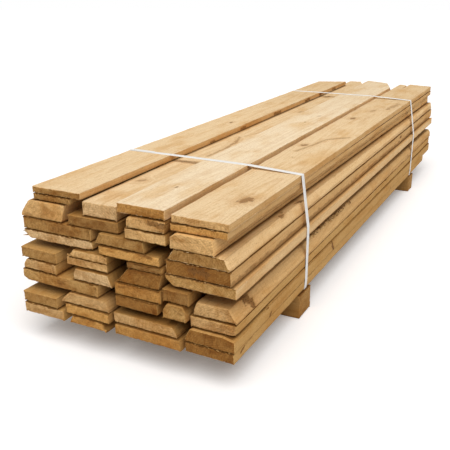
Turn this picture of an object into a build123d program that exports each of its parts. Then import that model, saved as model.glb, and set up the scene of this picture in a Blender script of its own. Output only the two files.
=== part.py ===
from build123d import *
import os
from typing import NamedTuple

# Stack of rough-sawn boards on two bearers, held by two flat white straps.
# The boards run along +Y, the near ends face -Y, and the stack stands on Z = 0.
# Sizes are in millimetres.

# Driving dimensions
board_length = 3000  # nominal length of the boards
bearer_height = 100
bearer_width_near = 120  # the front bearer is a wider timber than the rear one
bearer_width_far = 96
bearer_inset_near = 603  # from the near ends to the middle of the front bearer
bearer_inset_far = 557  # from the far ends to the middle of the rear bearer
bearer_proud = 8  # the bearers' right ends stand out past the lowest boards
strap_width = 25
strap_thickness = 0.9
strap_shift_near = 17  # the straps lie a little off the middle of their bearers
strap_shift_far = -18
wane_fade = 0.45  # share of a wane's near size that is left at the far end

corners = ("lower_left", "lower_right", "upper_right", "upper_left")


class Board(NamedTuple):
    """One board, seen on its near end: X to the right, Z up."""

    name: str
    left: float  # its left edge, from the right side of the lowest board
    width: float
    thick: float
    back: float  # its near end, behind the plane of the near ends
    longer: float  # its length, over the nominal length
    wane: dict = {}  # slanted corners: (in along the width, along the thickness)
    swing: float = 0  # its far end lies this much to the right
    flare: float = 0  # its far end is this much wider


# The boards in the order in which they were laid, from the ground up.
# A board comes down on the highest one under it, so only its side place is given.
# The packers are short boards inside the stack that hold the wide ones level.
boards = [
    Board("board_left_01", -864, 186, 43, -28, 15),
    Board("board_midleft_01", -656, 169, 35, -23, 0, {"upper_left": (14, 24), "upper_right": (19, 33)}),
    Board("board_centre_01", -460, 268, 40, -14, 5),
    Board("board_right_01", -181, 182, 39, -3, -177),
    Board("board_left_02", -868, 163, 43, -25, 30),
    Board("board_midleft_02", -672, 195, 42, -21, -20),
    Board("board_centre_02", -471, 262, 40, -3, 20, {"upper_right": (17, 30), "lower_left": (7, 9)}),
    Board("board_right_02", -182, 186, 51, -3, -12, {"upper_left": (20, 34), "upper_right": (45, 9)}),
    Board("board_midleft_03", -688, 213, 43, -18, 25, {"upper_left": (37, 34), "upper_right": (15, 36)}),
    Board("board_right_03", -168, 169, 41, 13, -30, {"lower_right": (17, 6)}),
    Board("packer_left_lower", -866, 150, 34, 260, -520),
    Board("packer_centre", -440, 250, 28, 240, -480),
    Board("board_centre_03", -456, 173, 42, -4, -10),
    Board("board_midright_01", -262, 90, 57, -6, -35, {"upper_left": (16, 27), "upper_right": (11, 26)}),
    Board("board_right_04", -159, 161, 50, 20, -16, {"upper_left": (12, 30), "upper_right": (30, 46)}),
    Board("board_left_03", -878, 350, 48, -7, 20, {"lower_left": (20, 10)}),
    Board("board_centre_04", -460, 190, 47, 1, 25),
    Board("board_midright_02", -266, 102, 47, 3, -20),
    Board("board_left_04", -868, 156, 42, -6, -15, {"upper_left": (17, 24)}),
    Board("board_midleft_04", -636, 169, 45, -2, 5, {"upper_left": (10, 20), "upper_right": (15, 42)}),
    Board("board_centre_05", -449, 182, 60, 5, -5, {"upper_left": (47, 54), "lower_right": (13, 48)}),
    Board("packer_right", -145, 90, 42, 300, -560),
    Board("board_left_05", -877, 170, 43, -2, 35),
    Board("board_midleft_05", -672, 181, 35, 11, -25),
    Board("board_centre_06", -403, 139, 23, 3, -40),
    Board("board_right_05", -261, 266, 39, 12, -10, {"lower_left": (31, 26)}),
    Board("packer_left_upper", -862, 145, 27, 280, -500),
    Board("board_midleft_06", -665, 180, 32, 5, 15, {"upper_left": (30, 30)}),
    Board("board_right_06", -255, 242, 52, 13, 32),
    Board("board_left_06", -868, 313, 37, 18, -20, {"lower_left": (28, 24), "lower_right": (28, 7)}),
    Board("board_centre_07", -522, 249, 36, 7, 10, {"lower_left": (22, 5)}),
    Board("board_right_07", -247, 231, 43, 10, 48, {"upper_left": (24, 36), "upper_right": (18, 41)}),
    Board("board_left_07", -871, 313, 46, 19, 15),
    Board("board_centre_08", -539, 209, 43, 11, -15, {"upper_left": (20, 33), "upper_right": (8, 40)}),
    Board("board_right_08", -231, 162, 55, 7, 48, {"upper_left": (20, 15), "upper_right": (7, 45)}, flare=24),
    Board("board_left_08", -875, 207, 67, 22, 0, {"upper_left": (42, 52), "lower_right": (20, 60)}),
    Board("board_inner_01", -659, 217, 39, 22, 30),
    Board("board_centre_09", -409, 163, 39, 10, 20),
    Board(
        "board_centre_10", -401, 158, 44, 10, -30, {"upper_left": (17, 12), "lower_right": (9, 34)}, flare=-12
    ),
    Board("board_inner_02", -598, 145, 53, 33, 154, swing=-50, flare=-15),
    Board("board_left_09", -818, 168, 25, 31, -15),
    Board("board_right_09", -237, 208, 27, 22, 28),
    Board("board_left_10", -818, 215, 26, 32, -63, swing=20, flare=-30),
    Board("board_centre_11", -440, 191, 37, 17, 81, swing=-46, flare=39),
    Board("board_right_10", -233, 211, 28, 22, 70, swing=-19, flare=8),
]

# Far ends that are sawn askew or split: the end's line, as X and how far it falls short
far_lines = {
    "board_left_10": [(-800, 59), (-611, 0)],
    "board_inner_02": [(-568, 0), (-514, 143)],
    "board_centre_11": [(-488, 0), (-328, 84), (-253, 292)],
    "board_right_10": [(-254, 19), (-212, 39), (-194, 66), (-188, 316), (-187, 60), (-186, 0), (-30, 38)],
}
cut_spare = 5  # the cuts reach this far past the wood

# Levels: the strap runs between the bearers and the lowest boards
bed = bearer_height + strap_thickness


def left_edge(board, run):
    """A board's left edge, at a share of the way from its near end to its far end."""
    return board.left + board.swing * run


def right_edge(board, run):
    return left_edge(board, run) + board.width + board.flare * run


def far_of(board):
    return board.back + board_length + board.longer


def crosses(board, other):
    """Whether one board lies over the other, at their near ends or at their far ends."""
    return any(
        left_edge(board, run) < right_edge(other, run) and left_edge(other, run) < right_edge(board, run)
        for run in (0, 1)
    )


def lie_level(board, laid):
    """The height of a board's underside: the highest top face below it."""
    return max([bed] + [base + other.thick for other, base in laid if crosses(board, other)])


laid = []
for board in boards:
    laid.append((board, lie_level(board, laid)))

# The origin is under the middle of the whole stack
stack_left = min(left_edge(board, run) for board in boards for run in (0, 1))
stack_right = max(right_edge(board, run) for board in boards for run in (0, 1))
bearer_left = boards[0].left
bearer_right = right_edge(boards[3], 0) + bearer_proud
reach_left = min(stack_left - strap_thickness, bearer_left)
reach_right = max(stack_right + strap_thickness, bearer_right)
reach_near = min(board.back for board in boards)
reach_far = max(far_of(board) for board in boards)
middle_x = (reach_left + reach_right) / 2
middle_y = (reach_near + reach_far) / 2


def across(y):
    """The upright plane across the boards at this distance from the near ends."""
    return Plane.XZ.offset(middle_y - y)


def outline(board, base, run):
    """The corner points of a board's section, at a share of the way to its far end."""
    share = 1 - (1 - wane_fade) * run
    points = []
    for corner in corners:
        inset, drop = board.wane.get(corner, (0, 0))
        x = left_edge(board, run) if corner.endswith("left") else right_edge(board, run)
        z = base if corner.startswith("lower") else base + board.thick
        inward = 1 if corner.endswith("left") else -1
        towards = 1 if corner.startswith("lower") else -1
        on_face = (x - middle_x + inward * inset * share, z)
        on_side = (x - middle_x, z + towards * drop * share)
        pair = [on_side, on_face] if corner in ("lower_left", "upper_right") else [on_face, on_side]
        points += pair if inset else pair[:1]
    return points


os.makedirs("parts", exist_ok=True)

# Boards
for row, base in laid:
    far = far_of(row)
    with BuildPart() as board:
        with BuildSketch(across(row.back)):
            Polygon(*outline(row, base, 0), align=None)
        if row.wane or row.swing or row.flare:
            with BuildSketch(across(far)):
                Polygon(*outline(row, base, 1), align=None)
            loft(ruled=True)
        else:
            extrude(amount=row.back - far)
        if row.name in far_lines:
            line = [(x - middle_x, far - short - middle_y) for x, short in far_lines[row.name]]
            beyond = far + cut_spare - middle_y
            with BuildSketch(Plane.XY.offset(base - cut_spare)):
                Polygon((line[0][0], beyond), *line, (line[-1][0], beyond), align=None)
            extrude(amount=row.thick + 2 * cut_spare, mode=Mode.SUBTRACT)
    board.part.label = row.name
    export_step(board.part, f"parts/{row.name}.step")

# Bearers
bearer_rows = [
    ("bearer_front", bearer_inset_near, bearer_width_near),
    ("bearer_rear", board_length - bearer_inset_far, bearer_width_far),
]
for name, middle, bearer_width in bearer_rows:
    with BuildPart() as bearer:
        with BuildSketch(Plane.XY):
            with Locations(((bearer_left + bearer_right) / 2 - middle_x, middle - middle_y)):
                Rectangle(bearer_right - bearer_left, bearer_width)
        extrude(amount=bearer_height)
    bearer.part.label = name
    export_step(bearer.part, f"parts/{name}.step")


def tight_loop(points):
    """The corner points that a band pulled tight round all these points touches."""
    rest = sorted(set(points))
    loop = []
    for run in (rest, rest[::-1]):
        side = []
        for x, z in run:
            while len(side) > 1:
                (x1, z1), (x2, z2) = side[-2:]
                if (x2 - x1) * (z - z1) > (z2 - z1) * (x - x1):
                    break
                side.pop()
            side.append((x, z))
        loop += side[:-1]
    return loop


# Straps: each is pulled tight round the section of the stack where it lies
strap_places = {
    "strap_front": bearer_inset_near + strap_shift_near,
    "strap_rear": board_length - bearer_inset_far + strap_shift_far,
}
for name, middle in strap_places.items():
    near_edge = middle - strap_width / 2
    touched = []
    for row, base in laid:
        for edge in (near_edge, near_edge + strap_width):
            touched += outline(row, base, (edge - row.back) / (far_of(row) - row.back))
    with BuildPart() as strap:
        with BuildSketch(across(near_edge)):
            Polygon(*tight_loop(touched), align=None)
            offset(amount=strap_thickness, kind=Kind.ARC)
            Polygon(*tight_loop(touched), align=None, mode=Mode.SUBTRACT)
        extrude(amount=-strap_width)
    strap.part.label = name
    export_step(strap.part, f"parts/{name}.step")
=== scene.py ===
import math

import bpy
import numpy as np
from mathutils import Matrix, Vector, noise


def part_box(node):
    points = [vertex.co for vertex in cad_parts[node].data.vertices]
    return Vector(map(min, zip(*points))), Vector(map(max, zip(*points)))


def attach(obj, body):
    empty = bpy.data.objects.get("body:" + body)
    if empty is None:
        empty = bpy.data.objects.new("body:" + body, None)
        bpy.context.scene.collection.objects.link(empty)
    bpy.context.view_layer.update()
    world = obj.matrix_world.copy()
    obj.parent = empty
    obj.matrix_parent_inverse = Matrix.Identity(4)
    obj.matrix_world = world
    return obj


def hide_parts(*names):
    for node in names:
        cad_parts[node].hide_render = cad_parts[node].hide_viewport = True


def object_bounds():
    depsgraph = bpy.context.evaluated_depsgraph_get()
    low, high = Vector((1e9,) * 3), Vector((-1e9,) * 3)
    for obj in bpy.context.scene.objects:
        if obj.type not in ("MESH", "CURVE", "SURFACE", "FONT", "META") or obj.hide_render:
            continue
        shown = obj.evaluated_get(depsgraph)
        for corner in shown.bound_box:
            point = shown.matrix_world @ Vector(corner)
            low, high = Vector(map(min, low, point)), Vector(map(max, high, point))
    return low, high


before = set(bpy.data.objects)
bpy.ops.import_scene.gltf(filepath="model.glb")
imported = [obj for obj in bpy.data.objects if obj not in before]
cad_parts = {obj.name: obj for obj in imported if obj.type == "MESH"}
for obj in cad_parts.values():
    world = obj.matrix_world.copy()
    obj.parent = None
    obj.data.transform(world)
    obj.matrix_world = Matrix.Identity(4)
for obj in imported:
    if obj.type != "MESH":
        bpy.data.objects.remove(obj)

# Lengths are in metres, colours are linear. The boards run along +Y, and their near ends face -Y.
cad_low, cad_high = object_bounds()

# Mesh of a board
ring_step_shown = 0.005  # between the points round a board that shows from outside
ring_step_hidden = 0.006
station_step_shown = 0.04  # between the stations along it
station_step_hidden = 0.16
end_stations = (0, 0.0015, 0.005, 0.012, 0.024, 0.045, 0.08)
lip = 0.0025  # how far the rounded arris reaches in from a corner
cap_rims = (0.0022, 0.0055)  # how far in from a sawn end's edge its flat's two rings lie
far_cut = 0.35  # no cut at a far end reaches further back than this
far_reach = far_cut + 0.05  # the last stretch, which is drawn in to the far end's line
full_from = {"board_right_02": 0.262}  # this board's wanes end at this distance from its near end
full_within = 0.004  # and they do so over this length
corner_off = 2e-4  # a corner stands at least this far off the line between its neighbours
base_within = 0.002  # corners less than this above the lowest one belong to the underside
same_level = 0.003  # a board lies on another when their levels differ by less

# Torn fibres at the sawn ends
fringe_count = 60  # round each end
fibre_lengths = (0.001, 0.0045)
fibre_widths = (0.0004, 0.0012)
fibre_root = 0.0015  # how deep a fibre's root lies in the wood
spike_faces = ((0, 2, 1), (0, 1, 3), (1, 2, 3), (2, 0, 3))

# Bark
bark_step = 0.0025  # between the points of a strip of bark
bark_height = 0.0065
bark_lumps = 0.011  # how much its height varies
bark_root = 0.002  # how deep its edges lie in the wood
bark_back = 0.006  # how deep its back lies in the wood

# Straps
strap_thickness = 0.0009
strap_crown = 0.0003  # the middle of a strap stands this proud of its edges
strap_ripple = 0.00025  # how far its face wanders in and out
strap_step = 0.02  # between the points along a strap
weld_reach = (0.30, 0.42)  # where the strap's end overlaps itself, from the top left corner down

# The floor and the room
floor_reach = 30.0  # from the middle to its edges
room_light = 0.36  # how strongly the white room lights

# The wood's own colours
tones = {
    "cream": (0.97, 0.80, 0.56),
    "straw": (0.90, 0.68, 0.41),
    "wheat": (0.95, 0.65, 0.33),
    "amber": (0.96, 0.61, 0.26),
    "tan": (0.81, 0.51, 0.22),
    "ochre": (0.86, 0.48, 0.15),
    "golden": (0.70, 0.42, 0.15),
    "orange": (0.66, 0.34, 0.095),
    "brown": (0.58, 0.33, 0.11),
    "dark": (0.46, 0.25, 0.08),
    "rust": (0.42, 0.20, 0.05),
}

# Painted shade: how light the wood is painted where little light gets in, as shares of its own tone
inside_light = 0.32  # boards that don't show from outside, deep in the stack
mouth_light = 0.43  # what those gain at their ends
mouth_depth = 0.10  # and how deep in that reaches
ledge_light = 0.8  # upper faces that aren't on top of the stack
covered_light = 0.22  # places right under the next board
under_light = 0.30  # undersides
far_loss = 0.10  # what upper faces lose towards their far ends
far_loss_from, far_loss_over = 1.4, 1.0  # from this far from their near ends, over this length
shade_warmth = (0.92, 1.1, 1.4)  # shaded wood is warmer: the powers of its red, green and blue
ring_width = 0.0072  # a growth ring's width

# How far a board's shade reaches on the board that it lies on
shade_beside = 0.018  # beyond its sides
shade_below = 0.06  # below its level
shade_before = 0.0015  # before its near end, as a share of its length

# Each board's look: the tones of its near end and of its long faces, and where its pith lies from
# the middle of its near end, in widths to the right and in thicknesses up
looks = {
    "board_left_10": ("brown", "tan", (0.1, -3.0)),
    "board_left_09": ("brown", "golden", (-0.3, 2.5)),
    "board_left_08": ("amber", "tan", (-0.1, -0.9)),
    "board_left_07": ("brown", "golden", (0.3, 2.0)),
    "board_left_06": ("wheat", "golden", (0.0, -3.2)),
    "board_left_05": ("brown", "golden", (0.4, 1.2)),
    "board_left_04": ("tan", "golden", (0.2, -2.6)),
    "board_left_03": ("golden", "golden", (-0.1, -2.2)),
    "board_left_02": ("brown", "golden", (0.5, 1.4)),
    "board_left_01": ("tan", "golden", (-0.2, 3.0)),
    "board_midleft_06": ("amber", "golden", (0.1, 2.4)),
    "board_midleft_05": ("amber", "golden", (-0.2, -2.8)),
    "board_midleft_04": ("wheat", "golden", (0.3, 2.2)),
    "board_midleft_03": ("tan", "tan", (0.1, -2.0)),
    "board_midleft_02": ("ochre", "golden", (-0.3, -1.8)),
    "board_midleft_01": ("ochre", "golden", (0.2, 2.1)),
    "board_inner_02": ("wheat", "tan", (-0.1, -1.6)),
    "board_inner_01": ("dark", "golden", (0.4, 2.6)),
    "board_centre_11": ("orange", "wheat", (0.0, -3.4)),
    "board_centre_10": ("amber", "golden", (0.5, 0.9)),
    "board_centre_09": ("amber", "golden", (-0.4, -2.5)),
    "board_centre_08": ("brown", "golden", (0.1, 1.7)),
    "board_centre_07": ("ochre", "golden", (-0.2, 3.2)),
    "board_centre_06": ("dark", "golden", (0.3, -3.6)),
    "board_centre_05": ("rust", "golden", (0.0, -1.0)),
    "board_centre_04": ("orange", "golden", (0.2, 1.5)),
    "board_centre_03": ("rust", "golden", (-0.5, -1.2)),
    "board_centre_02": ("tan", "golden", (0.3, 2.3)),
    "board_centre_01": ("orange", "golden", (-0.1, -2.7)),
    "board_midright_02": ("dark", "golden", (0.7, 0.8)),
    "board_midright_01": ("golden", "golden", (-0.6, -0.7)),
    "board_right_10": ("amber", "tan", (0.1, -3.6)),
    "board_right_09": ("ochre", "tan", (-0.3, 3.4)),
    "board_right_08": ("amber", "amber", (0.2, 1.9)),
    "board_right_07": ("brown", "wheat", (-0.1, -1.7)),
    "board_right_06": ("rust", "tan", (0.2, 1.1)),
    "board_right_05": ("golden", "wheat", (-0.2, -3.0)),
    "board_right_04": ("tan", "tan", (0.1, -1.3)),
    "board_right_03": ("tan", "golden", (-0.4, 2.2)),
    "board_right_02": ("rust", "golden", (0.3, -1.5)),
    "board_right_01": ("rust", "golden", (0.0, 2.9)),
    "packer_left_lower": ("tan", "golden", (0.2, -2.0)),
    "packer_left_upper": ("tan", "golden", (-0.2, 2.0)),
    "packer_centre": ("tan", "golden", (0.1, 2.4)),
    "packer_right": ("tan", "golden", (0.3, -2.2)),
}

# Boards whose long faces show from outside, and the paler tones of the upper faces of the top boards,
# painted light from above
shown_columns = ("board_left", "board_right")
top_tones = {
    "board_left_10": "straw",
    "board_inner_02": "straw",
    "board_centre_11": "cream",
    "board_right_10": "straw",
}

# Far ends that are sawn askew or split: (from the left side of the node's box, how far short)
far_lines = {
    "board_left_10": [(0.018, 0.059), (0.207, 0)],
    "board_inner_02": [(0.080, 0), (0.134, 0.143)],
    "board_centre_11": [(-0.002, 0), (0.158, 0.084), (0.233, 0.292)],
    "board_right_10": [
        (-0.002, 0.019), (0.040, 0.039), (0.058, 0.066), (0.064, 0.316),
        (0.065, 0.060), (0.066, 0), (0.222, 0.038),
    ],
}

# Knots, stains and dark lines, and two strips of painted shade. Each runs from one place to another, given
# from its board's near lower left corner, and has a reach to its sides, a darkness, and how far the grain
# swings round it.
marks = [
    ("board_right_10", (0.146, 0.215, 0.028), (0.158, 0.250, 0.028), 0.019, 0.75, 1.0),
    ("board_right_10", (0.040, 1.035, 0.028), (0.044, 1.055, 0.028), 0.014, 0.75, 1.0),
    ("board_right_10", (0.050, 1.710, 0.028), (0.052, 1.735, 0.028), 0.014, 0.75, 1.0),
    ("board_right_10", (0.050, 0.930, 0.028), (0.095, 1.190, 0.028), 0.0070, 0.40, 0.8),
    ("board_right_10", (0.095, 1.190, 0.028), (0.172, 1.270, 0.028), 0.0080, 0.50, 0.8),
    ("board_right_10", (0.075, 0.820, 0.028), (0.075, 0.826, 0.028), 0.0035, 0.7, 0.2),
    ("board_right_10", (0.150, 2.050, 0.028), (0.165, 2.250, 0.028), 0.016, 0.45, 0.3),
    ("board_right_10", (0.086, 1.950, 0.028), (0.090, 2.000, 0.028), 0.012, 0.35, 0.8),
    ("board_inner_02", (0.038, 0.288, 0.053), (0.044, 0.300, 0.053), 0.014, 0.5, 1.0),
    ("board_inner_02", (0.020, 0.606, 0.053), (0.101, 0.617, 0.053), 0.006, 0.45, 0.7),
    ("board_inner_02", (0.089, 0.721, 0.053), (0.092, 0.881, 0.053), 0.006, 0.45, 0.8),
    ("board_inner_02", (0.092, 0.881, 0.053), (0.079, 1.005, 0.053), 0.009, 0.5, 0.9),
    ("board_inner_02", (0.079, 1.005, 0.053), (0.049, 1.106, 0.053), 0.008, 0.45, 0.9),
    ("board_inner_02", (0.060, 1.130, 0.053), (0.106, 1.281, 0.053), 0.004, 0.35, 0.6),
    ("board_inner_02", (0.071, 1.820, 0.053), (0.071, 1.850, 0.053), 0.008, 0.45, 0.8),
    ("board_inner_02", (0.034, 2.360, 0.053), (0.038, 2.420, 0.053), 0.010, 0.45, 0.8),
    ("board_centre_11", (0.090, 0.226, 0.037), (0.091, 0.234, 0.037), 0.005, 0.75, 0.5),
    ("board_centre_11", (0.084, 1.470, 0.037), (0.087, 1.480, 0.037), 0.004, 0.65, 0.3),
    ("board_centre_11", (0.090, 1.650, 0.037), (0.100, 1.662, 0.037), 0.005, 0.75, 0.4),
    ("board_left_10", (0.125, 1.280, 0.026), (0.130, 1.295, 0.026), 0.010, 0.9, 0.6),
    ("board_left_10", (0.212, 0.920, 0.008), (0.211, 0.960, 0.008), 0.006, 0.7, 0.3),
    ("board_left_10", (0.211, 1.235, 0.010), (0.210, 1.285, 0.010), 0.007, 0.75, 0.3),
    ("board_left_10", (0.209, 1.655, 0.010), (0.208, 1.745, 0.012), 0.008, 0.8, 0.5),
    ("board_left_10", (0.207, 2.130, 0.010), (0.206, 2.210, 0.010), 0.008, 0.85, 0.4),
    ("board_left_10", (0.206, 2.390, 0.012), (0.205, 2.450, 0.012), 0.007, 0.8, 0.4),
    ("board_left_10", (0.205, 2.640, 0.010), (0.205, 2.710, 0.010), 0.008, 0.7, 0.3),
    ("board_right_07", (0.212, 0.430, 0.043), (0.219, 0.465, 0.043), 0.008, 0.80, 1.0),
    ("board_right_07", (0.196, 0.475, 0.043), (0.212, 0.445, 0.043), 0.004, 0.5, 0.8),
    ("board_right_07", (0.205, 0.590, 0.043), (0.221, 0.655, 0.042), 0.006, 0.80, 0.5),
    # Painted shade: a dark strip along the lower part of this board's right side, where its undercut lies in
    # shade
    ("board_right_06", (0.242, 0.010, 0.006), (0.242, 2.900, 0.006), 0.012, 0.55, 0.0),
    ("board_right_06", (0.242, 2.135, 0.033), (0.242, 2.165, 0.036), 0.008, 1.0, 0.6),
    ("board_right_06", (0.100, 0, 0.032), (0.152, 0, 0.028), 0.014, 0.85, 1.0),
    ("board_right_04", (0.128, 0.098, 0.052), (0.150, 0.130, 0.020), 0.019, 1.0, 1.0),
    # Painted shadow: the dark gap under the edge of the board above, on this board's wane
    ("board_right_02", (0.186, 0.250, 0.045), (0.186, 0.262, 0.044), 0.0045, 1.0, 0.0),
    ("board_right_02", (0.186, 0.274, 0.004), (0.186, 0.287, 0.016), 0.0055, 1.0, 0.5),
    ("board_right_02", (0.186, 0.928, 0.048), (0.186, 0.953, 0.010), 0.009, 1.0, 0.6),
    ("board_right_02", (0.186, 1.930, 0.008), (0.186, 1.938, 0.018), 0.004, 0.7, 0.3),
    ("board_right_01", (0.182, 0.050, 0.020), (0.182, 0.079, 0.032), 0.0055, 1.0, 0.5),
    ("board_right_01", (0.182, 0.078, 0.030), (0.182, 0.135, 0.036), 0.002, 0.6, 0.2),
    ("board_centre_10", (0.095, 0, 0.030), (0.150, 0, 0.028), 0.010, 0.8, 0.2),
    ("board_left_07", (0.150, 0, 0.018), (0.205, 0, 0.030), 0.011, 0.5, 1.0),
    ("board_left_08", (0.020, 0, 0.010), (0.050, 0, 0.006), 0.008, 0.4, 0.5),
    ("board_left_03", (0.180, 0, 0.024), (0.198, 0, 0.026), 0.010, 0.55, 1.0),
    ("board_inner_02", (0.008, 0, 0.036), (0.010, 0, 0.038), 0.006, 0.6, 0.5),
    ("board_midright_01", (0.046, 0, 0.040), (0.076, 0, 0.027), 0.0015, 0.5, 0.1),
    ("board_centre_07", (0.170, 0, 0.034), (0.215, 0, 0.028), 0.006, 0.7, 0.2),
    ("board_centre_04", (0.020, 0, 0.030), (0.060, 0, 0.036), 0.004, 0.5, 0.4),
]

# Long splinters: board, root from its near lower left corner, the way it points, length, thickness
splinters = [
    ("board_left_06", (0.020, 0.002, 0.015), (-0.95, -0.05, -0.22), 0.036, 0.008),
    ("board_left_06", (0.006, 0.003, 0.028), (-0.95, -0.10, -0.10), 0.016, 0.007),
]

# Bark left on a wane: board, start and stop from its near lower left corner, half its width
bark_strips = [
    ("board_right_04", (0.1335, 0.700, 0.0445), (0.1345, 0.900, 0.0440), 0.009),
    ("board_right_04", (0.1345, 0.880, 0.0430), (0.1370, 1.240, 0.0420), 0.010),
]


def waves(rng, points, size, count=7):
    """A smooth random value from about -1 to 1 at each point, in waves of about this size."""
    directions = rng.normal(0, 2.4, (count, points.shape[1])) / size
    phases = rng.uniform(0, 2 * math.pi, count)
    return np.clip(np.sin(points @ directions.T + phases).sum(1) / math.sqrt(count), -1, 1)


def section(points, edges, y):
    """The corners (x, z), in order round, where the upright plane at y cuts a node's edges."""
    a, b = points[edges[:, 0]], points[edges[:, 1]]
    cut = (a[:, 1] - y) * (b[:, 1] - y) < 0
    a, b = a[cut], b[cut]
    share = ((y - a[:, 1]) / (b[:, 1] - a[:, 1]))[:, None]
    found = (a + share * (b - a))[:, [0, 2]]
    out = found - (found.min(0) + found.max(0)) / 2
    found = found[np.argsort(np.arctan2(out[:, 1], out[:, 0]))]
    while True:
        before = np.roll(found, 1, axis=0)
        chord, reach = np.roll(found, -1, axis=0) - before, found - before
        off = abs(chord[:, 0] * reach[:, 1] - chord[:, 1] * reach[:, 0]) / np.hypot(*chord.T)
        if off.min() > corner_off:
            break
        found = np.delete(found, off.argmin(), axis=0)
    first = np.argmin((found - found.min(0)) @ (1, 3))
    return np.roll(found, -first, axis=0)


def prism(points, edges):
    """A prism-like node's near Y and far Y, and its corners at both."""
    near_y, far_y = points[:, 1].min(), points[:, 1].max()
    near = section(points, edges, near_y + 1e-4)
    whole = section(points, edges, far_y - far_cut)
    far = near + (whole - near) * (far_y - near_y) / (far_y - far_cut - near_y)
    return near_y, far_y, near, far


def footprint(node):
    """A node's near Y and far Y, its underside's left and right X at both, and its level."""
    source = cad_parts[node].data
    points = np.array([v.co for v in source.vertices])
    near_y, far_y, near, far = prism(points, np.array([e.vertices for e in source.edges]))
    at_base = near[:, 1] < near[:, 1].min() + base_within
    return near_y, far_y, near[at_base, 0], far[at_base, 0], near[:, 1].min()


def under_a_board(centres, top):
    """How far each place on a board with this top is open to the light: 0 right under the next one."""
    openness = np.ones(len(centres))
    for near_y, far_y, near_x, far_x, level in footprints:
        if abs(level - top) > same_level:
            continue
        t = (centres[:, 1] - near_y) / (far_y - near_y)
        left = near_x.min() + (far_x.min() - near_x.min()) * t
        right = near_x.max() + (far_x.max() - near_x.max()) * t
        beyond = np.maximum(left - centres[:, 0], centres[:, 0] - right) / shade_beside
        below = (level - centres[:, 2]) / shade_below
        is_beside = (t > -shade_before) & (t < 1)
        openness = np.where(is_beside, np.minimum(openness, np.maximum(beyond, below)), openness)
    return np.clip(openness, 0, 1)


def ring_plan(corners, ring_step, also_at):
    """The points round a section: (corner, share of the way to the next one, how near an arris)."""
    plan = []
    for i, (start, side) in enumerate(zip(corners, np.roll(corners, -1, axis=0) - corners)):
        run = np.hypot(*side)
        parts = max(1, round(run / ring_step))
        edge = min(lip / run, 0.3 / parts)
        shares = set(np.linspace(0, 1, parts + 1)[1:-1])
        if abs(side[0]) > 0.9 * run:
            more = [(x - start[0]) / side[0] for x in also_at]
            shares |= {share for share in more if edge < share < 1 - edge}
        plan += [(i, 0, 1), (i, edge, 0.4)]
        plan += [(i, share, 0) for share in sorted(shares)]
        plan.append((i, 1 - edge, 0.4))
    return plan


def new_mesh_object(name, vertices, faces):
    mesh = bpy.data.meshes.new(name)
    mesh.from_pydata(vertices.tolist(), [], faces)
    mesh.update()
    piece = bpy.data.objects.new(name, mesh)
    bpy.context.scene.collection.objects.link(piece)
    return piece


def smooth(mesh, angle):
    """Smooth shading, but sharp edges where faces meet at more than this angle, in degrees."""
    mesh.polygons.foreach_set("use_smooth", [True] * len(mesh.polygons))
    mesh.set_sharp_from_angle(angle=math.radians(angle))


def give(mesh, name, domain, kind, values):
    """Stores one value a vertex or face, which the material reads."""
    layer = mesh.attributes.new(name, kind, domain)
    layer.data.foreach_set("value" if kind == "FLOAT" else "vector", np.asarray(values, float).ravel())


def spike(root, towards, length, width):
    """The four points of a thin sharp fibre. Its root is a little inside the wood."""
    towards = np.array(towards) / np.linalg.norm(towards)
    side = np.cross(towards, (0.3, 0.9, 0.31))
    side /= np.linalg.norm(side)
    other = np.cross(towards, side)
    base = np.array(root) - fibre_root * towards
    return [
        base + side * width / 2,
        base - side * width / 4 + other * width / 2,
        base - side * width / 4 - other * width / 2,
        np.array(root) + towards * length,
    ]


def stations(node, length, step):
    """The distances from a board's near end at which its rings of points lie."""
    middle = np.linspace(end_stations[-1], length - end_stations[-1], 1 + round(length / step))
    along = np.concatenate([end_stations, middle[1:-1], length - np.array(end_stations[::-1])])
    if node in full_from:
        along = np.sort(np.append(along, (full_from[node], full_from[node] + full_within)))
    return along


def directions_out(near, corner, share):
    """The outward direction at each point round a section, halfway between two sides at a corner."""
    sides = np.roll(near, -1, axis=0) - near
    out = np.stack([sides[:, 1], -sides[:, 0]], 1) / np.hypot(*sides.T)[:, None]
    out = np.where(share == 0, out[corner] + out[corner - 1], out[corner])
    return out / np.hypot(*out.T)[:, None]


def cap_faces(rim_at, caps_at, count, sign):
    """The faces of a sawn end: two bands inside its rim, and the flat in the middle."""
    faces = []
    for j in range(count):
        a, b = (j, (j + 1) % count)[::sign]
        faces.append((rim_at + a, rim_at + b, caps_at + b, caps_at + a))
        faces.append((caps_at + a, caps_at + b, caps_at + count + b, caps_at + count + a))
    faces.append(tuple(caps_at + count + j for j in range(count))[::sign])
    return faces


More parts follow.
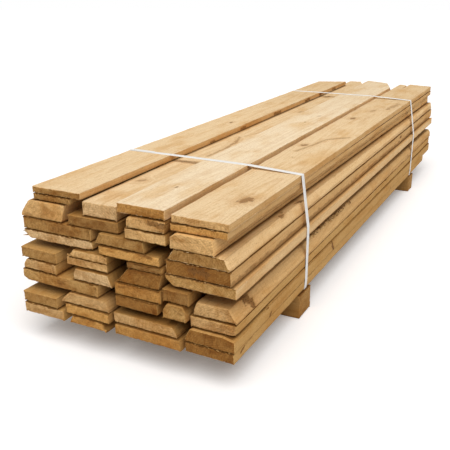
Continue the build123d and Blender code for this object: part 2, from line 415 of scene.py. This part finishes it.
class SawnPiece:
    """A rough-sawn board or bearer in place of a CAD node, a little inside it.

    Its own frame has the fibres along Y, and turn brings the node into that frame.
    """

    def __init__(self, node, index, is_shown, turn=np.eye(3)):
        self.node, self.is_shown, self.turn = node, is_shown, turn
        self.rng = np.random.default_rng(index)
        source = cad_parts[node].data
        points = np.array([v.co for v in source.vertices]) @ turn.T
        edges = np.array([e.vertices for e in source.edges])
        self.near_y, self.far_y, self.near, self.far = prism(points, edges)
        self.length = self.far_y - self.near_y
        self.low, self.high = self.near.min(0), self.near.max(0)
        self.size, self.centre = self.high - self.low, (self.high + self.low) / 2
        self.corner_place = np.array([self.low[0], self.near_y, self.low[1]])
        self.is_askew = node in far_lines
        self.far_line = np.array(far_lines.get(node, [(0, 0)])) + (points[:, 0].min(), 0)

        ring_step = ring_step_shown if is_shown else ring_step_hidden
        plan = ring_plan(self.near, ring_step, self.far_line[:, 0] if self.is_askew else ())
        self.count = len(plan)
        self.corner = np.array([p[0] for p in plan])
        self.share = np.array([p[1] for p in plan])[:, None]
        self.arris = np.array([p[2] for p in plan])
        self.out = directions_out(self.near, self.corner, self.share)
        self.along = stations(node, self.length, station_step_shown if is_shown else station_step_hidden)

    def lay_rings(self):
        """Lays the points round the board at each station, each end on its line."""
        box_corners = self.low + (self.near > self.centre) * self.size
        rings = []
        for y in self.along:
            t = y / self.length
            corners = self.near * (1 - t) + self.far * t
            if self.node in full_from:
                corners += (box_corners - corners) * np.clip((y - full_from[self.node]) / full_within, 0, 1)
            next_corners = np.roll(corners, -1, axis=0)
            ring = corners[self.corner] * (1 - self.share) + next_corners[self.corner] * self.share
            short = np.interp(ring[:, 0], *self.far_line.T)
            drawn = np.clip((y - self.length + far_reach) / far_reach, 0, 1)
            rings.append(np.stack([ring[:, 0], self.near_y + y - short * drawn, ring[:, 1]], 1))
        self.flat = np.concatenate(rings)

    def wear(self):
        """Makes the faces wander a little, and wears and tears the arrises, more so at the ends."""
        rng, flat = self.rng, self.flat
        from_end = np.repeat(np.minimum(self.along, self.length - self.along), self.count)
        arris = np.tile(self.arris, len(self.along))
        out = np.tile(self.out, (len(self.along), 1))
        is_low = out[:, 1] < -0.3
        torn = np.clip(waves(rng, flat, 0.03), 0, 1)
        nicked = np.clip(waves(rng, flat, 0.018), 0, 1)

        # The saw's waves, arrises rounded by wear, and wane along the upper ones
        inward = 0.0004 * (1 + waves(rng, flat, 0.02))
        inward += arris * (0.0008 + 0.0020 * torn)
        waney = arris * (out[:, 1] > 0) * (1 - np.exp(-from_end / 0.1))
        inward += 0.0035 * waney * np.clip(waves(rng, flat, 0.11), 0, 1)
        inward += is_low * arris * (0.0012 + 0.0020 * torn)

        # Nicks and bites round the sawn ends
        inward += np.exp(-from_end / 0.012) * nicked * (0.0010 + 0.0018 * arris)
        bitten = rng.random(len(flat)) ** 3
        inward += np.exp(-from_end / 0.007) * bitten * np.where(is_low, 0.0030, 0.0018)

        # Boards aren't quite flat or straight
        hollow = 0.0010 * (1 + waves(rng, flat, 0.5)) + 0.0008 * np.exp(-from_end / 0.05)
        inward += (out[:, 1] < -0.7) * hollow
        inward += (abs(out[:, 0]) > 0.7) * 0.0012 * (1 + waves(rng, flat[:, 1:2], 0.6))
        inward += 0.0012 * (from_end == 0)
        flat[:, [0, 2]] -= out * inward[:, None]
        # Wear at the arrises, and painted shade along each board's lower edge, in the seam below it
        self.edge_wear_and_seam_shade = np.maximum(0.35 * arris, np.exp((self.low[1] - flat[:, 2]) / 0.0026))

    def saw_ends(self):
        """Makes the saw cuts at the ends a little askew and ragged, with a flat inside each rim."""
        rng, flat = self.rng, self.flat
        run = np.repeat(self.along, self.count)
        self.caps = []
        for first, sign in ((0, 1), (len(flat) - self.count, -1)):
            lean = rng.uniform(-0.012, 0.012) * (flat[:, 0] - flat[:, 0].mean())
            reach = run if sign > 0 else self.length - run
            flat[:, 1] += sign * (lean - lean.min()) * np.clip(1 - reach / 0.12, 0, 1)
            cut = flat[first:first + self.count]
            for rim in cap_rims if sign > 0 or not self.is_askew else ():
                cap = cut.copy()
                cap[:, [0, 2]] = self.centre + (cut[:, [0, 2]] - self.centre) * (1 - 2 * rim / self.size)
                self.caps.append(cap)
            cut[:, 1] += sign * 0.0006 * (1 + waves(rng, cut, 0.012))

    def long_faces(self):
        faces = []
        for start in range(0, len(self.flat) - self.count, self.count):
            for j in range(self.count):
                a, b = start + j, start + (j + 1) % self.count
                faces.append((b, a, a + self.count, b + self.count))
        return faces

    def end_faces(self):
        count, corner = self.count, self.corner
        last, caps_at = len(self.flat) - count, len(self.flat)
        faces = cap_faces(0, caps_at, count, 1)
        if not self.is_askew:
            return faces + cap_faces(last, caps_at + 2 * count, count, -1)

        # An end that is sawn askew gets strips from its lower edge to its upper one
        top = [last + j for j in range(count) if corner[j] == 2] + [last + int(np.argmax(corner == 3))]
        bottom = [last + j for j in range(count) if corner[j] == 0] + [last + int(np.argmax(corner == 1))]
        faces += [(a, d, c, b) for a, b, c, d in zip(bottom, bottom[1:], top[::-1][1:], top[::-1])]
        faces.append(tuple(reversed(range(bottom[-1], top[0] + 1))))
        faces.append(tuple(reversed([*range(top[-1], last + count), bottom[0]])))
        return faces

    def fibres(self):
        """The long splinters, and the torn fibres round the sawn ends, as four points each."""
        rng, last = self.rng, len(self.flat) - self.count
        found = []
        for name, root, towards, reach, thick in splinters:
            if name == self.node:
                found.append(spike(self.corner_place + root, towards, reach, thick))
        if self.node.startswith("packer"):
            return found
        rims = [(self.flat[:self.count], -1)]
        if not self.is_askew:
            rims.append((self.flat[last:], 1))
        for rim, sign in rims:
            for j in rng.integers(0, self.count, fringe_count):
                right, up = self.out[j]
                if up > 0.5:
                    continue
                towards = (right + rng.normal(0, 0.4), sign * rng.uniform(0, 0.8), up + rng.normal(0, 0.3))
                found.append(spike(rim[j], towards, rng.uniform(*fibre_lengths), rng.uniform(*fibre_widths)))
        return found

    def shade(self, centres, middles, ups, is_end):
        """The painted shade on each face's wood: 1 in the open, and less where little light gets in."""
        from_near = middles[:, 1] - self.near_y
        depth = np.minimum(from_near, self.far_y - middles[:, 1])
        light = np.ones(len(ups))
        # Painted shade on boards that don't show from outside, lighter towards their ends
        if not self.is_shown:
            light = inside_light + mouth_light * np.exp(-depth / mouth_depth)
        # Painted shade on the upper faces of boards below the top of the stack
        if self.node not in top_tones:
            light[ups > 0.7] *= ledge_light
        # Painted shadow right under the next board
        openness = under_a_board(centres, self.high[1])
        let_in = covered_light + (1 - covered_light) * openness
        light = np.where(ups > 0.3, np.minimum(light, let_in), light)
        # Painted shade on the undersides
        light[ups < -0.7] = under_light
        # Painted shade on the upper faces towards their far ends
        loss = far_loss * np.clip((from_near - far_loss_from) / far_loss_over, 0, 1)
        light = np.where(ups > 0.7, light * (1 - loss), light)
        light[is_end & ((ups < 0.15) | (openness == 1))] = 1
        return light

    def paint(self, mesh, local, first_end_face, end_tone, long_tone, pith_place):
        """Gives the mesh what the material reads."""
        slope = self.rng.uniform(-0.02, 0.02, 2)
        at_end = self.centre + self.size * pith_place
        run = local[:, 1] - self.near_y
        pith = np.stack([at_end[0] + slope[0] * run, np.zeros(len(local)), at_end[1] + slope[1] * run], 1)
        give(mesh, "pith", "POINT", "FLOAT_VECTOR", pith)
        give(mesh, "grain", "POINT", "FLOAT_VECTOR", local)
        edge_wear_and_seam_shade = np.zeros(len(local))
        edge_wear_and_seam_shade[:len(self.flat)] = self.edge_wear_and_seam_shade
        give(mesh, "arris", "POINT", "FLOAT", edge_wear_and_seam_shade)

        centres = np.array([f.center for f in mesh.polygons])
        middles = centres @ self.turn.T
        ups = np.array([f.normal.z for f in mesh.polygons])
        is_end = np.arange(len(ups)) >= first_end_face
        # Painted light: the upward faces of the top boards take their paler top tone, as where light falls
        # from above
        painted_top_light = np.clip(ups, 0, 1)[:, None]
        top_tone = tones[top_tones.get(self.node, long_tone)]
        tone = np.array(tones[long_tone]) * (1 - painted_top_light) + np.array(top_tone) * painted_top_light
        tone = np.where(is_end[:, None], tones[end_tone], tone)
        # The painted shade darkens and warms each face's tone
        tone = tone * self.shade(centres, middles, ups, is_end)[:, None] ** shade_warmth
        give(mesh, "tone", "FACE", "FLOAT_VECTOR", tone)
        give(mesh, "end", "FACE", "FLOAT", is_end)
        give(mesh, "saw_angle", "FACE", "FLOAT", np.full(len(ups), self.rng.uniform(-0.9, 0.9)))
        self.paint_marks(mesh, middles)

    def paint_marks(self, mesh, middles):
        """Gives each face the mark that is nearest to it, or one that is out of reach."""
        count = len(middles)
        starts, stops = np.full((count, 3), 50.0), np.full((count, 3), 50.0)
        reaches, darks, swings = np.ones(count), np.zeros(count), np.zeros(count)
        nearest = np.full(count, 1e9)
        for name, start, stop, reach, dark, swing in marks:
            if name != self.node:
                continue
            start, stop = self.corner_place + start, self.corner_place + stop
            step = stop - start
            share = np.clip((middles - start) @ step / max(step @ step, 1e-9), 0, 1)
            distance = np.linalg.norm(middles - start - share[:, None] * step, axis=1) / reach
            closer = distance < nearest
            nearest[closer] = distance[closer]
            starts[closer], stops[closer] = start, stop
            reaches[closer], darks[closer], swings[closer] = reach, dark, swing
        give(mesh, "mark_start", "FACE", "FLOAT_VECTOR", starts)
        give(mesh, "mark_stop", "FACE", "FLOAT_VECTOR", stops)
        give(mesh, "mark_reach", "FACE", "FLOAT", reaches)
        give(mesh, "mark_dark", "FACE", "FLOAT", darks)
        give(mesh, "mark_swing", "FACE", "FLOAT", swings)

    def make(self, end_tone, long_tone, pith_place):
        self.lay_rings()
        self.wear()
        self.saw_ends()
        faces = self.long_faces()
        first_end_face = len(faces)
        faces += self.end_faces()
        fibres = self.fibres()
        fibres_at = len(self.flat) + self.count * len(self.caps)
        for start in range(fibres_at, fibres_at + 4 * len(fibres), 4):
            faces += [tuple(start + v for v in face) for face in spike_faces]
        local = np.concatenate([self.flat, *self.caps, *[np.array(fibre) for fibre in fibres]])
        local[:, 2] = np.maximum(local[:, 2], cad_low.z)
        piece = new_mesh_object("sawn_" + self.node, local @ self.turn, faces)
        smooth(piece.data, 35)
        self.paint(piece.data, local, first_end_face, end_tone, long_tone, pith_place)
        return piece


class Tree:
    """Short calls for making the nodes of a new material or world."""

    def __init__(self, owner):
        self.owner = owner
        owner.use_nodes = True
        self.nodes = owner.node_tree.nodes
        self.links = owner.node_tree.links
        self.shader = self.nodes.get("Principled BSDF")

    def put(self, socket, value):
        if isinstance(value, bpy.types.NodeSocket):
            self.links.new(value, socket)
        else:
            socket.default_value = value

    def add(self, kind, inputs=(), **settings):
        node = self.nodes.new("ShaderNode" + kind)
        for name, value in settings.items():
            setattr(node, name, value)
        for key, value in dict(inputs).items():
            self.put(node.inputs[key], value)
        return node

    def attribute(self, name, output="Vector"):
        return self.add("Attribute", attribute_name=name).outputs[output]

    def math(self, operation, a, b=0.0, c=0.0, clamp=False):
        return self.add("Math", {0: a, 1: b, 2: c}, operation=operation, use_clamp=clamp).outputs[0]

    def vector(self, operation, a, b=(0, 0, 0)):
        node = self.add("VectorMath", {0: a, 1: b}, operation=operation)
        return node.outputs["Value" if operation in ("LENGTH", "DOT_PRODUCT") else "Vector"]

    def scaled(self, a, factor):
        return self.add("VectorMath", {0: a, "Scale": factor}, operation="SCALE").outputs["Vector"]

    def ramp(self, value, low, high, to_low=0.0, to_high=1.0):
        inputs = {"Value": value, "From Min": low, "From Max": high, "To Min": to_low, "To Max": to_high}
        return self.add("MapRange", inputs, interpolation_type="SMOOTHSTEP").outputs["Result"]

    def noise(self, vector, scale=1.0, detail=2.0, rough=0.5, output="Fac"):
        """Noise with this scale, which is one number or one for each axis."""
        if isinstance(scale, tuple):
            vector, scale = self.vector("MULTIPLY", vector, scale), 1.0
        inputs = {"Vector": vector, "Scale": scale, "Detail": detail, "Roughness": rough}
        return self.add("TexNoise", inputs).outputs[output]

    def mix(self, factor, a, b, blend="MIX"):
        node = self.add("Mix", data_type="RGBA", blend_type=blend)
        for name, value in (("Factor_Float", factor), ("A_Color", a), ("B_Color", b)):
            self.put(next(s for s in node.inputs if s.identifier == name), value)
        return next(s for s in node.outputs if s.identifier == "Result_Color")

    def stain(self, colour, mask, amount, tint):
        """The colour multiplied by a tint, where the mask says and by this amount of it."""
        factor = self.math("MULTIPLY", mask, amount, clamp=True)
        return self.mix(factor, colour, (*tint, 1.0), "MULTIPLY")

    def bump(self, height, distance):
        return self.add("Bump", {"Height": height, "Distance": distance}).outputs["Normal"]


def from_mark(t, place):
    """How many reaches away the face's mark is: a line from its start to its stop."""
    start, stop = t.attribute("mark_start"), t.attribute("mark_stop")
    off, step = t.vector("SUBTRACT", place, start), t.vector("SUBTRACT", stop, start)
    reached, whole = t.vector("DOT_PRODUCT", off, step), t.vector("DOT_PRODUCT", step, step)
    share = t.math("DIVIDE", reached, whole, clamp=True)
    away = t.vector("LENGTH", t.vector("SUBTRACT", off, t.scaled(step, share)))
    return t.math("DIVIDE", away, t.attribute("mark_reach", "Fac"))


def sawn_pine():
    """Rough-sawn pine: growth rings round the pith, fibres along Y, knots, and the saw's marks."""
    t = Tree(bpy.data.materials.new("sawn_pine"))
    place = t.attribute("grain")
    end = t.attribute("end", "Fac")
    long = t.math("SUBTRACT", 1.0, end)

    # Knots, dark lines and strips of painted shade: a ragged core, and grain that swings round it
    ragged = t.noise(place, (110.0, 60.0, 110.0), 3.0, 0.6)
    lumpy = t.noise(place, (55.0, 25.0, 55.0), 1.0)
    away = t.math("MULTIPLY_ADD", t.math("SUBTRACT", ragged, 0.5), 1.6, from_mark(t, place))
    away = t.math("MULTIPLY_ADD", t.math("SUBTRACT", lumpy, 0.4), 2.0, away)
    core = t.math("MULTIPLY", t.ramp(away, 1.35, 0.75), t.attribute("mark_dark", "Fac"))
    swing = t.math("MULTIPLY", t.ramp(away, 4.5, 0.4), t.attribute("mark_swing", "Fac"))

    # Growth rings: pale early wood that darkens slowly, and then turns pale at once
    drift = t.vector("SUBTRACT", t.noise(place, (5.0, 0.8, 5.0), 1.0, 0.4, "Color"), (0.5, 0.5, 0.5))
    fine_drift = t.noise(place, (30.0, 2.5, 30.0), 2.0, 0.5, "Color")
    fine_drift = t.vector("SUBTRACT", fine_drift, (0.5, 0.5, 0.5))
    from_pith = t.vector("SUBTRACT", place, t.attribute("pith"))
    from_pith = t.vector("ADD", from_pith, t.scaled(drift, 0.06))
    from_pith = t.vector("ADD", from_pith, t.scaled(fine_drift, 0.006))
    radius = t.vector("LENGTH", t.vector("MULTIPLY", from_pith, (1.0, 0.0, 1.0)))
    radius = t.math("MULTIPLY_ADD", swing, 0.016, radius)
    turns = t.math("FRACT", t.math("MULTIPLY", radius, 1 / ring_width))
    late = t.math("MULTIPLY", t.ramp(turns, 0.35, 0.88), t.ramp(turns, 1.0, 0.9))
    inputs = {"W": t.math("MULTIPLY", radius, 45.0), "Detail": 2.0}
    strength = t.add("TexNoise", inputs, noise_dimensions="1D").outputs["Fac"]
    late = t.math("MULTIPLY", late, t.ramp(strength, 0.3, 0.7, 0.25, 1.0))

    # Long faces: blotches, streaks, fibres, grit, and the saw's marks across them
    blotch = t.ramp(t.noise(place, (10.0, 3.5, 10.0), 3.0, 0.6), 0.46, 0.72)
    elsewhere = t.vector("ADD", place, (3.1, 1.7, 0.4))
    cloud = t.ramp(t.noise(elsewhere, (16.0, 6.0, 16.0), 3.0, 0.6), 0.5, 0.74)
    streak = t.ramp(t.noise(place, (70.0, 2.6, 70.0), 3.0, 0.6), 0.5, 0.74)
    fibre = t.noise(place, (420.0, 30.0, 420.0), 3.0, 0.6)
    fibred = t.ramp(fibre, 0.38, 0.72)
    grit = t.ramp(t.noise(place, (240.0, 90.0, 240.0), 3.0, 0.65), 0.59, 0.70)
    sawn = t.noise(place, (9.0, 240.0, 9.0), 2.0, 0.5)

    # Sawn ends: mottled, scored along the saw's way, and full of dark pits
    inputs = {"Vector": place, "Angle": t.attribute("saw_angle", "Fac")}
    turned = t.add("VectorRotate", inputs, rotation_type="Y_AXIS").outputs["Vector"]
    scored = t.ramp(t.noise(turned, (340.0, 20.0, 26.0), 3.0, 0.6), 0.44, 0.70)
    smear = t.ramp(t.noise(place, (11.0, 11.0, 22.0), 3.0, 0.55), 0.44, 0.70)
    mottle = t.ramp(t.noise(place, 70.0, 4.0, 0.65), 0.42, 0.66)
    fuzz = t.noise(place, 210.0, 3.0, 0.62)
    pits = t.ramp(fuzz, 0.52, 0.64)
    tufts = t.ramp(fuzz, 0.48, 0.38)

    colour = t.attribute("tone", "Color")
    colour = t.stain(colour, blotch, 0.70, (0.86, 0.71, 0.50))
    colour = t.stain(colour, cloud, 0.40, (0.85, 0.74, 0.58))
    colour = t.stain(colour, late, t.math("MULTIPLY_ADD", end, 0.22, 0.28), (0.70, 0.51, 0.32))
    colour = t.stain(colour, streak, t.math("MULTIPLY", long, 0.35), (0.80, 0.63, 0.42))
    colour = t.stain(colour, t.ramp(sawn, 0.5, 0.7), t.math("MULTIPLY", long, 0.22), (0.72, 0.56, 0.40))
    colour = t.stain(colour, fibred, t.math("MULTIPLY", long, 0.25), (0.74, 0.58, 0.40))
    colour = t.stain(colour, grit, t.math("MULTIPLY", long, 0.50), (0.56, 0.40, 0.25))
    colour = t.stain(colour, smear, t.math("MULTIPLY", end, 0.75), (0.62, 0.48, 0.32))
    colour = t.stain(colour, mottle, t.math("MULTIPLY", end, 0.42), (0.66, 0.52, 0.36))
    colour = t.stain(colour, scored, t.math("MULTIPLY", end, 0.40), (0.62, 0.48, 0.32))
    colour = t.stain(colour, pits, t.math("MULTIPLY_ADD", end, 0.10, 0.20), (0.58, 0.42, 0.26))
    colour = t.stain(colour, tufts, t.math("MULTIPLY_ADD", end, 0.20, 0.20), (1.22, 1.22, 1.22))
    # A dark stain: wear at the arrises, and painted shade along each board's lower edge
    edge_wear_and_seam_shade = t.math("MULTIPLY", t.attribute("arris", "Fac"), t.ramp(ragged, 0.30, 0.50))
    colour = t.stain(colour, edge_wear_and_seam_shade, 0.80, (0.32, 0.19, 0.09))
    colour = t.stain(colour, swing, 0.42, (0.72, 0.54, 0.35))
    knot_and_shade_colour = t.mix(t.ramp(pits, 0.2, 0.8), (0.26, 0.115, 0.032, 1.0), (0.075, 0.032, 0.009, 1.0))
    colour = t.mix(t.math("MULTIPLY", core, 0.9), colour, knot_and_shade_colour)
    t.put(t.shader.inputs["Base Color"], colour)
    t.put(t.shader.inputs["Roughness"], t.ramp(fibre, 0.3, 0.7, 0.74, 0.92))
    t.shader.inputs["Specular IOR Level"].default_value = 0.1

    relief = t.math("MULTIPLY", t.math("MULTIPLY_ADD", sawn, 0.9, fibre), long)
    coarse = t.math("ADD", t.math("ADD", mottle, scored), t.math("MULTIPLY", pits, -1.0))
    relief = t.math("MULTIPLY_ADD", coarse, t.math("MULTIPLY", end, 0.8), relief)
    relief = t.math("MULTIPLY_ADD", core, -0.8, relief)
    t.put(t.shader.inputs["Normal"], t.bump(relief, 0.0013))
    return t.owner


def rough_bark():
    """Pine bark: ochre and brown scales with dark cracks between them."""
    t = Tree(bpy.data.materials.new("rough_bark"))
    place = t.attribute("grain")
    scales = t.noise(place, (150.0, 70.0, 150.0), 3.0, 0.6)
    colour = t.mix(t.ramp(scales, 0.36, 0.50), (0.30, 0.15, 0.05, 1.0), (0.60, 0.33, 0.10, 1.0))
    colour = t.mix(t.ramp(scales, 0.50, 0.62), colour, (0.88, 0.60, 0.26, 1.0))
    # Darker in the hollows between the lumps
    colour = t.stain(colour, t.attribute("hollow", "Fac"), 1.0, (0.36, 0.24, 0.11))
    t.put(t.shader.inputs["Base Color"], colour)
    t.put(t.shader.inputs["Normal"], t.bump(scales, 0.002))
    t.put(t.shader.inputs["Roughness"], t.ramp(scales, 0.3, 0.7, 0.95, 0.8))
    return t.owner


def bark_piece(node, index, start, stop, half_width):
    """A strip of lumpy bark on a board's wane: a closed patch whose thin parts lie in the wood."""
    low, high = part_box(node)
    start, stop = (np.array(low) + place for place in (start, stop))
    wane = np.array([0.55, 0.0, -0.84])
    outward = np.array([0.84, 0.0, 0.55])
    rows, columns = round(np.linalg.norm(stop - start) / bark_step), round(2 * half_width / bark_step)
    along, over = np.meshgrid(np.linspace(0, 1, rows + 1), np.linspace(-1, 1, columns + 1), indexing="ij")
    along, over = along.ravel(), over.ravel()
    flat = start + along[:, None] * (stop - start) + over[:, None] * half_width * wane
    lumps = np.array([noise.fractal(Vector(point), 0.9, 2.0, 3) for point in flat * (42, 17, 42)])
    edge = np.clip(3 * (1 - abs(over)), 0, 1) * np.clip(12 * np.minimum(along, 1 - along), 0, 1)
    rise = (bark_height + bark_lumps * lumps) * edge - bark_root * (1 - edge)
    top = flat + rise[:, None] * outward
    bottom = flat - bark_back * outward
    wide, count = columns + 1, len(top)
    firsts = [i * wide + j for i in range(rows) for j in range(columns)]
    grid = [(v, v + 1, v + wide + 1, v + wide) for v in firsts]
    rim = [*range(wide), *range(2 * wide - 1, count, wide)]
    rim += [*range(count - 2, count - wide - 1, -1), *range(count - 2 * wide, 0, -wide)]
    faces = grid + [tuple(count + v for v in reversed(face)) for face in grid]
    faces += [(b, a, count + a, count + b) for a, b in zip(rim, rim[1:] + rim[:1])]
    piece = new_mesh_object(f"bark_{node}_{index}", np.concatenate([top, bottom]), faces)
    smooth(piece.data, 50)
    give(piece.data, "grain", "POINT", "FLOAT_VECTOR", np.concatenate([top, bottom]))
    give(piece.data, "hollow", "POINT", "FLOAT", np.tile(np.clip(0.05 - 3.0 * lumps, 0, 1), 2))
    return piece


def woven_strap():
    """White woven polyester strapping: fine cords along it, a few soiled stretches."""
    t = Tree(bpy.data.materials.new("white_strapping"))
    place = t.attribute("weave")
    cords = {"Vector": place, "Scale": 100.0, "Distortion": 0.4}
    cords = t.add("TexWave", cords, bands_direction="X").outputs["Fac"]
    cross = {"Vector": place, "Scale": 70.0, "Distortion": 0.6}
    cross = t.add("TexWave", cross, bands_direction="Y").outputs["Fac"]
    soil = t.ramp(t.noise(place, (60.0, 14.0, 1.0), 4.0, 0.6), 0.5, 0.8)
    colour = t.mix(t.math("MULTIPLY", cords, 0.15), (0.96, 0.94, 0.90, 1.0), (0.78, 0.76, 0.72, 1.0))
    colour = t.stain(colour, soil, 0.35, (0.80, 0.76, 0.68))
    t.put(t.shader.inputs["Base Color"], colour)
    t.put(t.shader.inputs["Roughness"], t.ramp(cross, 0.0, 1.0, 0.40, 0.55))
    t.put(t.shader.inputs["Normal"], t.bump(t.math("MULTIPLY_ADD", cross, 0.6, cords), 0.0003))
    return t.owner


def tight_loop(points):
    """The corners (x, z), in order round, of a band pulled tight round these points."""
    rest = sorted({(round(x, 6), round(z, 6)) for x, z in points})
    loop = []
    for run in (rest, rest[::-1]):
        side = []
        for x, z in run:
            while len(side) > 1:
                (x1, z1), (x2, z2) = side[-2:]
                if (x2 - x1) * (z - z1) > (z2 - z1) * (x - x1):
                    break
                side.pop()
            side.append((x, z))
        loop += side[:-1]
    return np.array(loop)


def run_along(path):
    """How far along the path each of its points lies."""
    return np.concatenate([[0], np.cumsum(np.hypot(*np.diff(path, axis=0).T))])


def band(path, closed, near_y, width, rng):
    """A flat band along a path (x, z) of its outer face: vertices, faces and weave places."""
    ahead, behind = np.roll(path, -1, axis=0), np.roll(path, 1, axis=0)
    if not closed:
        ahead[-1], behind[0] = path[-1], path[0]
    along = ahead - behind
    out = np.stack([along[:, 1], -along[:, 0]], 1) / np.hypot(*along.T)[:, None]
    run = run_along(path)
    rounded = -0.4 * strap_thickness
    profile = [(0, rounded), (0.03, 0), (0.25, 0.6 * strap_crown), (0.5, strap_crown)]
    profile += [(0.75, 0.6 * strap_crown), (0.97, 0), (1, rounded)]
    profile += [(0.99, -strap_thickness), (0.01, -strap_thickness)]
    ripple = strap_ripple * waves(rng, run[:, None], 0.12)
    vertices, places = [], []
    for share, lift in profile:
        ring = path + out * (lift - strap_crown + ripple - strap_ripple)[:, None]
        vertices.append(np.stack([ring[:, 0], np.full(len(ring), near_y + share * width), ring[:, 1]], 1))
        places.append(np.stack([np.full(len(ring), share * width), run, np.zeros(len(ring))], 1))
    count, sides = len(path), len(profile)
    faces = []
    for j in range(sides):
        k = (j + 1) % sides
        for i in range(count if closed else count - 1):
            n = (i + 1) % count
            faces.append((j * count + i, k * count + i, k * count + n, j * count + n))
    if not closed:
        faces.append(tuple(j * count for j in reversed(range(sides))))
        faces.append(tuple(j * count + count - 1 for j in range(sides)))
    return np.concatenate(vertices), faces, np.concatenate(places)


def spread(path, closed):
    """The path with more points between its own, about one strap step apart."""
    stops = np.vstack([path, path[:1]]) if closed else path
    found = []
    for a, b in zip(stops, stops[1:]):
        parts = max(1, round(np.hypot(*(b - a)) / strap_step))
        found += [a + (b - a) * i / parts for i in range(parts)]
    return np.array(found if closed else found + [stops[-1]])


def strap_piece(node, index):
    """A taut strap in place of a CAD node: a flat band once round, welded over its own end."""
    rng = np.random.default_rng(index)
    low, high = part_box(node)
    points = np.array([v.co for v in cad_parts[node].data.vertices])
    path = tight_loop(points[:, [0, 2]])
    width = high.y - low.y
    vertices, faces, places = band(spread(path, True), True, low.y, width, rng)

    # The overlap lies on the left side, out of sight of the front
    left = path[path[:, 0] < (low.x + high.x) / 2]
    left = left[np.argsort(-left[:, 1])]
    fall = run_along(left)
    lap = np.linspace(*weld_reach, 6)
    lap = np.stack([np.interp(lap, fall, left[:, 0]) - strap_thickness, np.interp(lap, fall, left[:, 1])], 1)
    more, more_faces, more_places = band(lap[::-1], False, low.y, width, rng)
    faces += [tuple(len(vertices) + v for v in face) for face in more_faces]
    piece = new_mesh_object("woven_" + node, np.concatenate([vertices, more]), faces)
    smooth(piece.data, 50)
    give(piece.data, "weave", "POINT", "FLOAT_VECTOR", np.concatenate([places, more_places]))
    return piece


def settle(piece, material, node=None):
    """Gives a new piece its material and body, and puts it in the place of a CAD node, if it has one."""
    piece.data.materials.append(material)
    if node:
        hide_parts(node)
    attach(piece, "root")


pine = sawn_pine()
strapping = woven_strap()
footprints = [footprint(node) for node in looks]

for index, (node, (end_tone, long_tone, pith_place)) in enumerate(looks.items()):
    is_shown = node.startswith(shown_columns) or node in top_tones
    piece = SawnPiece(node, index, is_shown).make(end_tone, long_tone, pith_place)
    settle(piece, pine, node)

bark = rough_bark()
for index, (node, start, stop, half_width) in enumerate(bark_strips, start=300):
    settle(bark_piece(node, index, start, stop, half_width), bark)

# The bearers' fibres run along X, so they are made a quarter turn round and turned back
quarter_turn = np.array([(0, -1, 0), (1, 0, 0), (0, 0, 1)], float)
for index, node in enumerate(("bearer_front", "bearer_rear"), start=100):
    piece = SawnPiece(node, index, True, quarter_turn).make("brown", "dark", (0.1, -0.2))
    settle(piece, pine, node)

for index, node in enumerate(("strap_front", "strap_rear"), start=200):
    settle(strap_piece(node, index), strapping, node)


def camera_share(t):
    """1 for what the camera sees, directly or in a gloss or through glass, and 0 for other light."""
    path = t.add("LightPath").outputs
    seen = t.math("MAXIMUM", path["Is Camera Ray"], path["Is Glossy Ray"])
    return t.math("MAXIMUM", seen, path["Is Transmission Ray"])


def plain_floor():
    """A white floor that keeps the shadow, and looks a little lighter than it lights."""
    t = Tree(bpy.data.materials.new("floor_white"))
    t.nodes.remove(t.shader)
    seen = camera_share(t)
    white = t.mix(seen, (0.66, 0.66, 0.66, 1.0), (0.96, 0.95, 0.95, 1.0))
    diffuse = t.add("BsdfDiffuse", {"Color": white}).outputs["BSDF"]
    # A glow that only the camera sees: it whitens the lit floor, and its warm tint is painted light from the
    # wood in the floor's shadow
    lift = {"Color": (1.0, 0.90, 0.80, 1.0), "Strength": t.math("MULTIPLY", seen, 0.16)}
    lift = t.add("Emission", lift).outputs["Emission"]
    both = t.add("AddShader", {0: diffuse, 1: lift}).outputs["Shader"]
    t.links.new(both, t.nodes["Material Output"].inputs["Surface"])
    return t.owner


def white_room():
    """A white room all round: it shows at full strength, and lights and glosses at less."""
    t = Tree(bpy.data.worlds.new("studio"))
    back = t.nodes["Background"]
    back.inputs["Color"].default_value = (1, 1, 1, 1)
    path = t.add("LightPath").outputs
    seen = t.math("MAXIMUM", path["Is Camera Ray"], path["Is Transmission Ray"])
    t.put(back.inputs["Strength"], t.ramp(seen, 0.0, 1.0, room_light, 1.0))
    return t.owner


def soft_sun(name, towards, spread_angle, level):
    """An even soft light. A white face square to it comes out at this level."""
    light = bpy.data.lights.new(name, "SUN")
    light.angle = math.radians(spread_angle)
    light.energy = level * math.pi
    holder = bpy.data.objects.new(name, light)
    holder.rotation_euler = Vector(towards).to_track_quat("-Z", "Y").to_euler()
    bpy.context.scene.collection.objects.link(holder)


# The floor, the room and the lamp
floor_corners = floor_reach * np.array([(-1, -1, 0), (1, -1, 0), (1, 1, 0), (-1, 1, 0)], float)
floor = new_mesh_object("floor", floor_corners, [(0, 1, 2, 3)])
floor.data.materials.append(plain_floor())
bpy.context.scene.world = white_room()
soft_sun("lamp_overhead", (-0.28, 0.42, -1.0), 60, 0.75)

# The camera stands right of the near ends and looks down along the stack
camera = bpy.data.objects.new("camera", bpy.data.cameras.new("camera"))
heading = Matrix.Rotation(math.radians(28.1704), 4, "Z")  # turned left from the boards' direction
pitch = Matrix.Rotation(math.radians(90 - 20.5027), 4, "X")  # looking down from level by 20.5 degrees
roll = Matrix.Rotation(math.radians(-0.7519), 4, "Z")
place = Vector((cad_high.x + 0.7983, cad_low.y - 1.5293, 1.2346))
camera.matrix_world = Matrix.Translation(place) @ heading @ pitch @ roll
camera.data.sensor_width = 36
camera.data.lens = 51.1
bpy.context.scene.collection.objects.link(camera)
bpy.context.scene.camera = camera
bpy.context.scene.view_settings.view_transform = "Standard"
